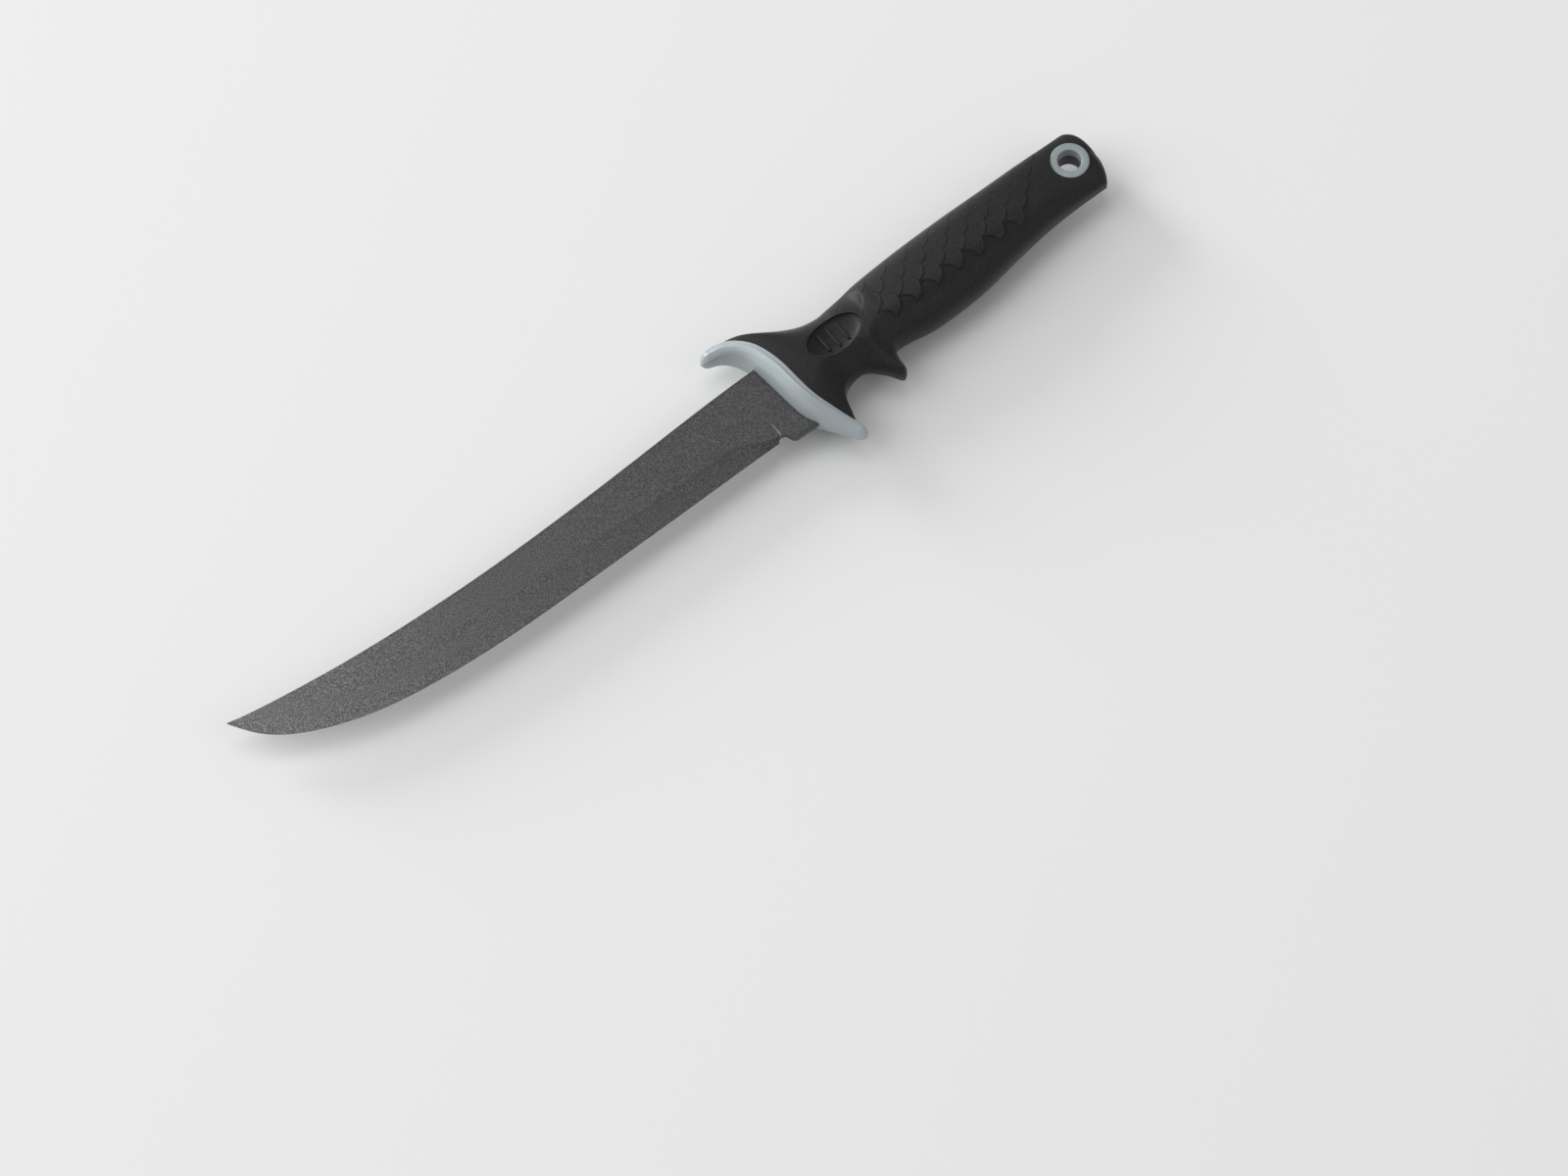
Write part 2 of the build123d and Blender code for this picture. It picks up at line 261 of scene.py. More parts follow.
def bumpNode(nodes, links, height, shader, distance):
    bump = nodes.new("ShaderNodeBump")
    bump.inputs["Distance"].default_value = distance * mm
    links.new(height, bump.inputs["Height"])
    links.new(bump.outputs["Normal"], shader.inputs["Normal"])


def grey(level):
    return (level, level, level)


rubberLook = {
    "dark": (0.0070, 0.0066, 0.0075),
    "light": (0.0186, 0.0178, 0.0198),
    "roughness": (0.46, 0.58),
    "patch": 9.0,  # size of the cloudy patches, mm
    "specular": 0.30,
    "sheen": 0.25,
    "grain": 0.55,  # size of the fine grain, mm
    "grainHeight": 0.045,
}


def makeRubber(name, look):
    made = startMaterial(name, look["light"], look["roughness"][1], look["specular"], look["sheen"])
    material, nodes, links, shader = made
    fine = noiseNode(nodes, links, look["grain"], 2.0)
    tone = rampNode(nodes, links, fine.outputs["Fac"], [(0.36, look["dark"]), (0.64, look["light"])])
    links.new(tone.outputs["Color"], shader.inputs["Base Color"])
    cloud = noiseNode(nodes, links, look["patch"], 3.0)
    gloss = nodes.new("ShaderNodeMapRange")
    gloss.inputs["To Min"].default_value, gloss.inputs["To Max"].default_value = look["roughness"]
    links.new(cloud.outputs["Fac"], gloss.inputs["Value"])
    links.new(gloss.outputs["Result"], shader.inputs["Roughness"])
    bumpNode(nodes, links, fine.outputs["Fac"], shader, look["grainHeight"])
    return material


guardLook = {
    "dark": (0.390, 0.436, 0.456),
    "light": (0.424, 0.474, 0.496),
    "roughness": (0.20, 0.28),
    "patch": 14.0,
    "specular": 0.5,
    "sheen": 0.0,
    "grain": 0.45,
    "grainHeight": 0.010,
}

ringLook = {
    **guardLook,
    "dark": (0.255, 0.295, 0.306),
    "light": (0.285, 0.325, 0.338),
}

coatingLook = {
    "speck": [(0.36, grey(0.042)), (0.50, grey(0.120)), (0.64, grey(0.284))],
    "speckSize": 0.50,  # mm
    # painted highlight: how much lighter the coating is painted on the way to the tip, in place of the
    # lamps' reflection: x in mm, share
    "along": [(0, 0.80), (-60, 0.94), (-130, 1.26), (-190, 1.92), (-222, 2.40)],
    "roughness": (0.32, 0.42),
    "grainHeight": 0.022,
}


def makeCoating():
    material, nodes, links, shader = startMaterial("bladeCoating", grey(0.08), 0.5)
    specks = noiseNode(nodes, links, coatingLook["speckSize"], 3.0, 0.65)
    tone = rampNode(nodes, links, specks.outputs["Fac"], coatingLook["speck"])
    # painted highlight: the colour is made lighter towards the tip, standing in for the lamps' reflection
    where = nodes.new("ShaderNodeTexCoord")
    parts = nodes.new("ShaderNodeSeparateXYZ")
    links.new(where.outputs["Object"], parts.inputs["Vector"])
    span = nodes.new("ShaderNodeMapRange")
    places = [(x + knife["guardLine"]) * mm for x, _ in coatingLook["along"]]
    span.inputs["From Min"].default_value, span.inputs["From Max"].default_value = places[0], places[-1]
    links.new(parts.outputs["X"], span.inputs["Value"])
    stops = [((x - places[0]) / (places[-1] - places[0]), grey(share / 2.4))
             for x, (_, share) in zip(places, coatingLook["along"])]
    paintedTipLight = rampNode(nodes, links, span.outputs["Result"], stops)
    blend = nodes.new("ShaderNodeVectorMath")
    blend.operation = "MULTIPLY"
    links.new(tone.outputs["Color"], blend.inputs[0])
    links.new(paintedTipLight.outputs["Color"], blend.inputs[1])
    links.new(blend.outputs["Vector"], shader.inputs["Base Color"])
    gloss = nodes.new("ShaderNodeMapRange")
    gloss.inputs["To Min"].default_value, gloss.inputs["To Max"].default_value = coatingLook["roughness"]
    links.new(specks.outputs["Fac"], gloss.inputs["Value"])
    links.new(gloss.outputs["Result"], shader.inputs["Roughness"])
    bumpNode(nodes, links, specks.outputs["Fac"], shader, coatingLook["grainHeight"])
    return material


def makeSteel():
    material, nodes, links, shader = startMaterial("bareSteel", grey(0.62), 0.3)
    shader.inputs["Metallic"].default_value = 0.5
    scratches = noiseNode(nodes, links, 0.25, 2.0, 0.5, (0.05, 1, 1))
    tone = rampNode(nodes, links, scratches.outputs["Fac"], [(0.3, grey(0.52)), (0.7, grey(0.70))])
    links.new(tone.outputs["Color"], shader.inputs["Base Color"])
    bumpNode(nodes, links, scratches.outputs["Fac"], shader, 0.01)
    return material


def makeNylon():
    material, nodes, links, shader = startMaterial("coreNylon", grey(0.05), 0.5)
    flow = noiseNode(nodes, links, 3.0, 3.0)
    tone = rampNode(nodes, links, flow.outputs["Fac"], [(0.3, grey(0.042)), (0.7, (0.058, 0.058, 0.061))])
    links.new(tone.outputs["Color"], shader.inputs["Base Color"])
    bumpNode(nodes, links, flow.outputs["Fac"], shader, 0.02)
    return material


rubber = makeRubber("gripRubber", rubberLook)
guardPlastic = makeRubber("guardPlastic", guardLook)
ringPlastic = makeRubber("ringPlastic", ringLook)
coating = makeCoating()
bareSteel = makeSteel()
coreNylon = makeNylon()
print("stage: finishes")

# Guard: sections along an S line, domed in front, with a rolled ridge and a flat land behind it
guard = {
    # its middle line from the upper tip to the lower: x, y
    "line": [
        (-12.30, 27.40), (-8.70, 26.75), (-4.20, 25.30), (-0.51, 22.33), (2.31, 17.93), (3.99, 11.96),
        (4.89, 5.92), (5.31, -0.55), (6.45, -7.87), (9.20, -15.07), (12.60, -21.53), (15.80, -27.63),
        (17.00, -30.81),
    ],
    # share of the line, depth in front and behind, half thickness, scoop of the front face
    "rows": [
        (0.00, 2.20, 2.00, 3.40, 0.25),
        (0.06, 2.50, 2.60, 4.50, 0.60),
        (0.12, 2.75, 2.90, 6.00, 1.00),
        (0.20, 2.95, 3.20, 7.80, 1.05),
        (0.30, 3.20, 3.40, 9.70, 0.65),
        (0.40, 3.20, 3.50, 10.90, 0.10),
        (0.50, 3.00, 3.50, 11.46, 0.00),
        (0.60, 2.75, 3.30, 11.35, -0.30),
        (0.70, 2.40, 2.70, 10.30, -1.20),
        (0.80, 2.20, 2.30, 8.00, -0.60),
        (0.88, 2.35, 1.90, 5.70, -0.10),
        (0.95, 2.30, 1.70, 4.00, 0.00),
        (1.00, 2.00, 1.60, 3.00, 0.00),
    ],
    "tipRun": 3.2,  # length over which each tip rounds off
    # half outline of a section: share of the half depth, share of the half thickness
    "outline": [
        (-1.00, 0.00), (-0.97, 0.24), (-0.91, 0.44), (-0.79, 0.61), (-0.60, 0.735), (-0.40, 0.820),
        (-0.20, 0.890), (-0.02, 0.944), (0.11, 0.984), (0.21, 1.000), (0.31, 0.990), (0.44, 0.963),
        (0.68, 0.930), (0.90, 0.900), (1.00, 0.84), (1.00, 0.45), (1.00, 0.00),
    ],
    "scoopWidth": 0.86,  # of the half thickness
    "rings": 260,
    "around": 60,
}


def guardLineAt():
    points = np.array(guard["line"])
    run = chordPlaces(points)
    curve = smoothCurve(run, points)
    fine = np.linspace(0, run[-1], 2000)
    along = chordPlaces(curve(fine))
    return lambda share: curve(np.interp(np.asarray(share, float) * along[-1], along, fine)), along[-1]


guardLine, guardLength = guardLineAt()
guardRows = smoothCurve([row[0] for row in guard["rows"]], [row[1:] for row in guard["rows"]])


def guardTipFactor(share):
    # 0 at each tip, 1 past its rounding
    reach = np.minimum(share, 1 - share) * guardLength / guard["tipRun"]
    return roundOff(reach, 2.0)


def makeGuard():
    run = guard["tipRun"] / guardLength
    tip = run * (1 - np.cos(np.linspace(0, np.pi / 2, 18)))
    middle = np.linspace(run, 1 - run, guard["rings"])[1:-1]
    shares = np.concatenate([tip, middle, 1 - tip[::-1]])
    step = 1e-4
    centre = guardLine(shares)
    ahead = guardLine(np.minimum(shares + step, 1)) - guardLine(np.maximum(shares - step, 0))
    ahead /= np.linalg.norm(ahead, axis=1)[:, None]
    rear = np.stack([-ahead[:, 1], ahead[:, 0]], 1)  # square to the line, towards the butt
    half = smoothCurve(chordPlaces(guard["outline"]), guard["outline"])
    profile = half(np.linspace(0, chordPlaces(guard["outline"])[-1], guard["around"]))
    loop = np.concatenate([profile, (profile[1:-1] * (1, -1))[::-1]])
    front, back, thick, scoop = guardRows(shares).T
    factor = guardTipFactor(shares)
    front, back, thick, scoop = [(part * factor)[:, None] for part in (front, back, thick, scoop)]
    u = loop[:, 0] * np.where(loop[:, 0] < 0, front, back)
    w = loop[:, 1] * thick
    dish = np.clip(1 - (np.abs(loop[:, 1]) / guard["scoopWidth"]) ** 2, 0, 1) * (loop[:, 0] < 0)
    u = u + dish * scoop
    points = np.zeros((*u.shape, 3))
    points[..., :2] = centre[:, None] + rear[:, None] * u[..., None]
    points[..., 2] = w
    piece = meshObject("guardMoulding", points.reshape(-1, 3), ringFaces(*u.shape))
    piece.data.materials.append(guardPlastic)
    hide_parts("guard")
    return piece


makeGuard()
print("stage: guard")

# Grip: lines from the back to the belly, fanned round the finger groove and the spur
grip = {
    # back x, y; belly x, y; half thickness; squareness; then for the belly side of the line:
    # thickness share of the edge, its rounding, where the rise behind it starts and ends
    "rows": [
        (-7.2, 26.9, 15.5, -27.0, 10.8, 2.0, 1.00, 14.0, 3.0, 12.0),
        (-6.0, 28.7, 16.1, -26.2, 10.8, 2.0, 1.00, 14.0, 3.0, 12.0),
        (-3.2, 28.9, 16.9, -24.9, 10.6, 2.0, 0.95, 11.0, 3.0, 12.0),
        (0.3, 27.7, 17.4, -23.3, 10.5, 2.0, 0.90, 9.5, 3.0, 12.0),
        (4.6, 26.0, 17.9, -21.4, 10.4, 2.0, 0.85, 8.5, 3.0, 12.0),
        (10.0, 23.6, 18.7, -18.0, 10.1, 2.0, 0.75, 7.0, 3.0, 12.0),
        (14.5, 21.4, 20.2, -14.8, 9.8, 2.0, 0.66, 6.0, 2.5, 12.0),
        (19.0, 19.3, 22.6, -12.2, 9.5, 2.0, 0.60, 5.5, 2.5, 11.5),
        (23.5, 17.5, 25.6, -10.8, 9.3, 2.0, 0.57, 5.0, 2.0, 11.0),
        (27.5, 16.7, 28.8, -10.3, 9.2, 2.0, 0.56, 5.0, 2.0, 10.5),
        (31.0, 16.5, 31.8, -10.6, 9.2, 2.0, 0.56, 5.0, 2.0, 10.5),
        (34.0, 16.75, 34.2, -12.0, 9.2, 2.2, 0.57, 5.0, 2.0, 10.5),
        (36.6, 17.1, 36.4, -14.2, 9.2, 2.2, 0.59, 5.0, 2.0, 10.5),
        (38.8, 17.4, 38.6, -16.9, 9.2, 2.25, 0.61, 5.0, 2.0, 10.8),
        (40.4, 17.6, 40.2, -19.35, 9.3, 2.25, 0.63, 5.0, 2.0, 11.0),
        (41.6, 17.75, 41.8, -20.45, 9.35, 2.3, 0.66, 5.1, 2.0, 11.2),
        (42.6, 17.9, 43.15, -19.6, 9.4, 2.3, 0.69, 5.3, 2.0, 11.4),
        (43.5, 18.05, 43.7, -17.2, 9.45, 2.3, 0.72, 5.6, 2.0, 11.6),
        (44.4, 18.2, 43.9, -13.8, 9.5, 2.3, 0.75, 6.0, 2.2, 11.8),
        (45.6, 18.35, 45.1, -10.9, 9.6, 2.3, 0.79, 6.6, 2.4, 12.0),
        (47.4, 18.6, 47.1, -9.8, 9.8, 2.3, 0.84, 7.6, 2.6, 12.0),
        (50.0, 18.9, 50.0, -9.7, 9.8, 2.3, 0.89, 9.0, 2.8, 12.0),
        (54.5, 19.3, 54.5, -10.3, 10.0, 2.3, 0.94, 11.5, 3.0, 12.0),
        (60.0, 19.7, 60.0, -11.15, 10.2, 2.35, 0.98, 14.0, 4.0, 12.0),
        (70.0, 20.3, 70.0, -11.45, 10.35, 2.4, 1.00, 15.5, 4.0, 12.0),
        (80.0, 20.7, 80.0, -10.95, 10.25, 2.4, 1.00, 15.7, 4.0, 12.0),
        (90.0, 20.9, 90.0, -9.7, 9.9, 2.5, 1.00, 15.2, 4.0, 12.0),
        (100.0, 20.95, 100.0, -7.8, 9.3, 2.6, 1.00, 14.3, 4.0, 12.0),
        (110.0, 21.05, 110.0, -6.15, 8.45, 2.7, 1.00, 13.5, 4.0, 12.0),
        (120.0, 21.2, 120.0, -4.8, 7.7, 2.9, 1.00, 13.0, 4.0, 12.0),
        (130.0, 21.25, 130.0, -4.15, 6.4, 3.2, 1.00, 12.7, 4.0, 12.0),
        (140.0, 21.3, 140.0, -3.95, 5.4, 3.4, 1.00, 12.6, 4.0, 12.0),
        (149.6, 21.3, 149.6, -3.9, 5.2, 3.4, 1.00, 12.6, 4.0, 12.0),
    ],
    "end": 149.6,
    "endHeights": (11.0, 7.8),  # upper and lower end of the flat stretch of the butt
    "backCorner": (6.2, 1.9),  # run and squareness of the corner at the back
    "bellyCorner": (4.4, 1.35),
    "endRounding": (3.4, 2.2),
    "flareRun": 20.0,  # length of the flare behind the guard
    "guardShares": (0.05, 0.94),  # stretch of the guard's line that carries the grip
    "guardShare": 0.892,  # the grip's thickness next to the guard, as a share of the guard's
    "fuller": (0.55, 7.4, 2.6, 50.0, 118.0),  # depth, height over the belly, width, from x, to x
    "around": 176,
}

# Oval thumb pads
pad = {
    "centre": (29.3, 4.7),
    "half": (11.75, 6.6),
    "tilt": 4.0,  # degrees, its rear end towards the spine
    "lip": 0.05,  # height of the rounded rim over the grip
    "bowl": 3.0,  # depth of the bowl
    "bowlShape": 0.45,  # 0.5 is an ellipsoid, 1 has gentler sides
    "ridges": [(25.0, 5.1, 4.25), (29.1, 5.3, 5.0), (33.2, 5.2, 4.6)],  # x, y, half length
    "ridgeWidth": 0.72,  # half of a ridge
    "ridgeHeight": 1.05,
}

# Fish scales, their round ends towards the butt
scales = {
    "firstX": 50.0,  # middle of the first scale of the lowest row
    "pitch": 9.46,
    "reach": 0.62,  # of a scale's round end, as a share of the pitch
    # lower border and height of a row: x, value
    "border": [(44, -3.1), (51, -2.8), (70, -2.4), (90, -1.8), (110, -1.0), (120, -0.4), (134, 0.6)],
    "rowHeight": [(44, 4.95), (60, 4.9), (90, 4.75), (120, 4.5), (134, 4.3)],
    "firstInRow": [0, -1, 0, -1, 0, -1, 0, -1],
    "lastX": [121.0, 121.0, 131.0, 131.0, 133.0, 131.0, 133.0, 131.0],  # ends of the rows
    "field": (40.0, 54.0, 106.0, 120.0),  # where the relief comes in, is full, weakens and is half gone
    "tail": 0.42,  # height of a scale's round end
    "body": 0.70,  # height of the whole field over the belly
    "backFade": 0.60,  # of their height lost towards the spine
    "backEnd": (17, 25),  # way up from the border over which they run out
    "bead": 0.10,  # rounded rim along a scale's free edge
}

bushing = {
    "centre": (139.1, 9.95),
    "bore": 4.2,
    "outer": 7.1,
    "half": 5.4,
    "rounding": 0.45,
    "play": 0.03,  # between its flanges and the grip
    "proud": 0.12,  # the visible flange stands this much higher
    "paintedShadeSleeve": (-4.9, 1.3),  # stretch of the bore given the core's dark nylon: painted shade inside the hole
    "segments": 128,
}


def gripColumns():
    rows = np.array(grip["rows"])
    run = chordPlaces((rows[:, :2] + rows[:, 2:4]) / 2) + 0.35 * chordPlaces(rows[:, 2:4])
    curve = smoothCurve(run, rows)
    atX = lambda x: np.interp(x, rows[:, 2], run)
    knots = [
        (0, 0.55), (atX(22), 0.42), (atX(45.7), 0.30), (atX(134), 0.35), (atX(grip["end"] - 3.5), 0.3),
    ]
    end = run[-1]
    body = spread(knots + [(end - 3.4 * 1.35, 0.3)])
    last = body[-1] + (end - body[-1]) * np.sin(np.linspace(0, np.pi / 2, 26))[1:]
    return np.concatenate([body, last]), curve


def gripBase():
    # the smooth grip before its relief: one ring of points for each line, back to belly and round
    places, curve = gripColumns()
    table = curve(places)
    back, belly = table[:, 0:2].copy(), table[:, 2:4].copy()
    thick, square, edge, rounding, riseStart, riseEnd = table[:, 4:].T
    corners = grip["backCorner"], grip["bellyCorner"]
    for side, height, (reach, corner) in zip((back, belly), grip["endHeights"], corners):
        past = 1 - roundOff((grip["end"] - side[:, 0]) / reach, corner)
        side[:, 1] += (height - side[:, 1]) * past
    reach, corner = grip["endRounding"]
    thick = thick * roundOff((grip["end"] - belly[:, 0]) / reach, corner)
    turn = np.linspace(0, np.pi, grip["around"])
    v = (1 - np.cos(turn)) / 2
    v = 0.72 * v + 0.28 * turn / np.pi
    flat = back[:, None] * (1 - v[None, :, None]) + belly[:, None] * v[None, :, None]
    # the first line lies in the middle of the guard, the next ones straighten behind it
    upperShare, lowerShare = grip["guardShares"]
    front = guardLine(upperShare + (lowerShare - upperShare) * v)
    chord = front[:1] * (1 - v[:, None]) + front[-1:] * v[:, None]
    behind = back[:, :1] - back[0, 0]
    bow = (front - chord)[None] * (1 - ease(behind, 0, 27))[..., None]
    shift = (front[0] - back[0]) * (1 - v[:, None]) + (front[-1] - belly[0]) * v[:, None]
    flat = flat + bow + shift[None] * (1 - ease(behind, 0, 8))[..., None]
    # distances from the back along the line, and from the nearest point of the belly's outline
    length = np.linalg.norm(belly - back, axis=1)[:, None]
    fromBack = v * length
    outline = flat[:, -1]
    fromBelly = np.array([np.linalg.norm(line[:, None] - outline, axis=2).min(1) for line in flat])
    up = roundOff(fromBack / (length / 2), square[:, None])
    low = roundOff(fromBelly / np.minimum(rounding[:, None], length / 2), square[:, None])
    rise = ease(fromBelly, riseStart[:, None], riseEnd[:, None])
    low = edge[:, None] * low + (1 - edge[:, None]) * rise
    height = thick[:, None] * up * low
    # shallow fuller under the scales
    deep, where, wide, start, stop = grip["fuller"]
    x = belly[:, :1]
    fade = ease(x, start - 8, start + 6) * (1 - ease(x, stop - 30, stop))
    height = height - deep * fade * np.exp(-(((fromBelly - where) / wide) ** 2))
    # next to the guard the grip is as thick as the guard
    shares = np.linspace(0, 1, 2000)
    guardPoints = guardLine(shares)
    ends = roundOff(v / 0.17, 2) * roundOff((1 - v) / 0.04, 2)
    for i in np.flatnonzero(flat[:, 0, 0] < 32):
        away = np.linalg.norm(flat[i][:, None] - guardPoints, axis=2)
        flush = grip["guardShare"] * guardRows(shares[away.argmin(1)])[:, 2] * ends
        flare = ease(away.min(1), 2.5, grip["flareRun"])
        height[i] = flush * (1 - flare) + height[i] * flare
    half = np.concatenate([flat, height[..., None]], -1)
    mirrored = half[:, 1:-1][:, ::-1] * (1, 1, -1)
    return np.concatenate([half, mirrored], 1), grip["around"]


def scaleRelief(x, rise):
    # height of the scales at x and at a distance up the surface from their lower border
    rowHeight = np.interp(x, *np.array(scales["rowHeight"]).T)
    across = rise / rowHeight
    along = (x - scales["firstX"]) / scales["pitch"]
    lowest = np.floor(across).astype(int) - 1
    best = np.full(x.shape, 1e9)
    height = np.zeros(x.shape)
    for offset in (0, 1):
        row = lowest + offset
        away = np.clip(across - (row + 1), -1, 1)
        reach = scales["reach"] * np.sqrt(1 - away**2)
        shift = np.where(row % 2 == 0, 0.0, 0.5)
        middle = np.ceil(along - reach - shift) + shift
        left = middle + reach - along  # from the point to the scale's round end
        known = np.clip(row, 0, len(scales["lastX"]) - 1)
        first = np.array(scales["firstInRow"])[known] + shift
        last = (np.array(scales["lastX"])[known] - scales["firstX"]) / scales["pitch"]
        real = (row >= 0) & (row < len(scales["lastX"]))
        real = real & (middle >= first) & (middle + scales["reach"] <= last)
        lift = scales["tail"] * np.clip(1 - left, 0, 1)
        lift = lift + scales["bead"] * np.exp(-(((left - 0.045) / 0.035) ** 2))
        tall = np.where(real, lift + scales["body"], 0)
        upper = middle < best
        height = np.where(upper, tall, height)
        best = np.where(upper, middle, best)
    return height


def gripRelief(ring, around):
    # scale height for every point of the upper half of the rings, mirrored to the lower half
    top = ring[:, :around]
    steps = np.linalg.norm(np.diff(top, axis=1), axis=2)
    run = np.concatenate([np.zeros((len(top), 1)), np.cumsum(steps, axis=1)], 1)
    border = np.interp(top[:, 0, 0], *np.array(scales["border"]).T)
    rise = np.zeros(run.shape)
    for i, column in enumerate(top):
        below = np.interp(-border[i], -column[:, 1], run[i])
        rise[i] = below - run[i]
    x = top[..., 0]
    inside = (x > 40) & (x < 136)
    total = np.zeros(x.shape)
    spots = [(dx, dy) for dx in (-0.12, 0, 0.12) for dy in (-0.12, 0, 0.12)]
    for dx, dy in spots:
        total += scaleRelief(x + dx, rise + dy)
    comeIn, full, weaken, half = scales["field"]
    faint = (1 - scales["backFade"] * ease(rise, 3, 15)) * (1 - ease(rise, *scales["backEnd"]))
    faint = faint * ease(x, comeIn, full) * (1 - 0.6 * ease(x, weaken, half))
    total = np.where(inside, total / len(spots) * faint, 0)
    return np.concatenate([total, total[:, 1:-1][:, ::-1]], 1)


def ringNormals(ring):
    around = np.roll(ring, -1, axis=1) - np.roll(ring, 1, axis=1)
    along = np.gradient(ring, axis=0)
    normal = np.cross(along, around)
    normal /= np.maximum(np.linalg.norm(normal, axis=2, keepdims=True), 1e-9)
    middle = ring.mean(axis=1, keepdims=True)
    return normal * np.where(np.sum(normal * (ring - middle), axis=2, keepdims=True) < 0, -1, 1)


def ovalPlace(x, y):
    # 0 in the middle of the pad, 1 on its rim
    turn = np.radians(pad["tilt"])
    dx, dy = x - pad["centre"][0], y - pad["centre"][1]
    along, across = dx * np.cos(turn) + dy * np.sin(turn), dy * np.cos(turn) - dx * np.sin(turn)
    return np.hypot(along / pad["half"][0], across / pad["half"][1])


def ovalPoint(share, angle):
    turn = np.radians(pad["tilt"])
    along, across = share * pad["half"][0] * np.cos(angle), share * pad["half"][1] * np.sin(angle)
    x = pad["centre"][0] + along * np.cos(turn) - across * np.sin(turn)
    return x, pad["centre"][1] + along * np.sin(turn) + across * np.cos(turn)


ring, half = gripBase()
baseFaces = ringFaces(*ring.shape[:2], (False, True)) + zipFaces(np.arange(ring.shape[1]), half)
baseTree = BVHTree.FromPolygons(ring.reshape(-1, 3).tolist(), baseFaces)


def gripHeight(x, y):
    # height of the smooth grip over the middle plane
    hit = baseTree.ray_cast(Vector((x, y, 40)), Vector((0, 0, -1)))
    return hit[0].z


def makeGrip():
    raised = ring + ringNormals(ring) * gripRelief(ring, half)[..., None]
    # room under each pad
    sink = (pad["bowl"] + 1.3) * (1 - ease(ovalPlace(raised[..., 0], raised[..., 1]), 0.93, 1.02))
    side = np.sign(raised[..., 2])
    raised[..., 2] -= side * np.minimum(sink, np.abs(raised[..., 2]) * 0.9)
    piece = meshObject("gripMoulding", raised.reshape(-1, 3), baseFaces)
    # hole for the bushing
    reach = bushing["outer"] + bushing["play"]
    cutter = latheObject("boreCutter", [(reach, -9), (reach, 9)], bushing["centre"], 64, True)
    cut = piece.modifiers.new("bore", "BOOLEAN")
    cut.operation, cut.object, cut.solver = "DIFFERENCE", cutter, "EXACT"
    applyModifiers(piece)
    bpy.data.objects.remove(cutter)
    piece.data.materials.clear()
    piece.data.materials.append(rubber)
    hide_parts("grip")
    return piece


def applyModifiers(piece):
    bpy.context.view_layer.update()
    graph = bpy.context.evaluated_depsgraph_get()
    made = bpy.data.meshes.new_from_object(piece.evaluated_get(graph))
    piece.modifiers.clear()
    old = piece.data
    piece.data = made
    bpy.data.meshes.remove(old)
    made.name = piece.name


def latheObject(name, profile, centre, segments, solid=False):
    # profile of radius and z turned round an axis along z; a solid one is closed by its ends
    turn = np.linspace(0, 2 * np.pi, segments, endpoint=False)
    profile = np.array(profile, float)
    points = np.zeros((len(profile), segments, 3))
    points[..., 0] = centre[0] + profile[:, :1] * np.cos(turn)
    points[..., 1] = centre[1] + profile[:, :1] * np.sin(turn)
    points[..., 2] = profile[:, 1:]
    faces = ringFaces(len(profile), segments, (solid, solid))
    if not solid:
        index = np.arange(len(profile) * segments).reshape(len(profile), segments)
        follow = np.roll(index, -1, axis=1)
        faces += np.stack([index[-1], index[0], follow[0], follow[-1]], -1).tolist()
    return meshObject(name, points.reshape(-1, 3), faces)


makeGrip()
print("stage: grip")


def bowlHeight(x, y):
    # height of the pad's bowl over the middle plane
    share = np.clip(ovalPlace(x, y) / 0.985, 0, 1)
    return gripHeight(x, y) - 0.1 - pad["bowl"] * (1 - share**2) ** pad["bowlShape"]


def ridgePoints(middleX, middleY, halfLength):
    # a bar across the bowl with a rounded top, sunk a little into the bowl
    wide, tall = pad["ridgeWidth"], pad["ridgeHeight"]
    rows = []
    for t in np.sin(np.linspace(-np.pi / 2, np.pi / 2, 45)):
        y = middleY + t * halfLength
        base = bowlHeight(middleX, y)
        fade = np.sqrt(max(1 - abs(t) ** 5, 0))
        arch = np.linspace(np.pi, 0, 15)
        across = np.sign(np.cos(arch)) * np.abs(np.cos(arch)) ** 0.8
        x = wide * np.concatenate([[-1], across, [1]]) * fade
        z = np.concatenate([[-0.3], tall * np.sin(arch) ** 0.8 * fade, [-0.3]])
        rows.append(np.stack([middleX + x, np.full(x.shape, y), base + z], 1))
    return np.array(rows)


def makePad(side, node):
    # rings from the skirt over the rounded lip down into the bowl: share of the oval, height
    lip, bowl = pad["lip"], pad["bowl"]
    rim = [
        (1.035, -bowl - 0.8), (1.035, -0.25), (1.032, -0.02), (1.024, lip * 0.8), (1.012, lip),
        (0.998, lip * 0.7), (0.986, -0.05),
    ]
    wall = 0.978 - 0.04 * (1 - np.cos(np.linspace(0, np.pi / 2, 12)))
    inner = np.concatenate([wall, np.linspace(0.93, 0.012, 40)])
    shares = np.array([r[0] for r in rim] + list(inner))
    depth = bowl * (1 - np.clip(inner / 0.985, 0, 1) ** 2) ** pad["bowlShape"]
    drops = np.concatenate([[r[1] for r in rim], -0.1 - depth])
    turn = np.linspace(0, 2 * np.pi, 180, endpoint=False)
    x, y = ovalPoint(shares[:, None], turn[None, :])
    surface = np.array([[gripHeight(a, b) for a, b in zip(rowX, rowY)] for rowX, rowY in zip(x, y)])
    points = np.stack([x, y, surface + drops[:, None]], -1).reshape(-1, 3)
    faces = ringFaces(*x.shape)
    for ridge in pad["ridges"]:
        bar = ridgePoints(*ridge)
        barFaces = ringFaces(*bar.shape[:2], (False, False))
        faces += [[corner + len(points) for corner in face] for face in barFaces]
        points = np.concatenate([points, bar.reshape(-1, 3)])
    piece = meshObject(node + "_inlay", points * (1, 1, side), faces)
    piece.data.materials.append(rubber)
    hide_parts(node)


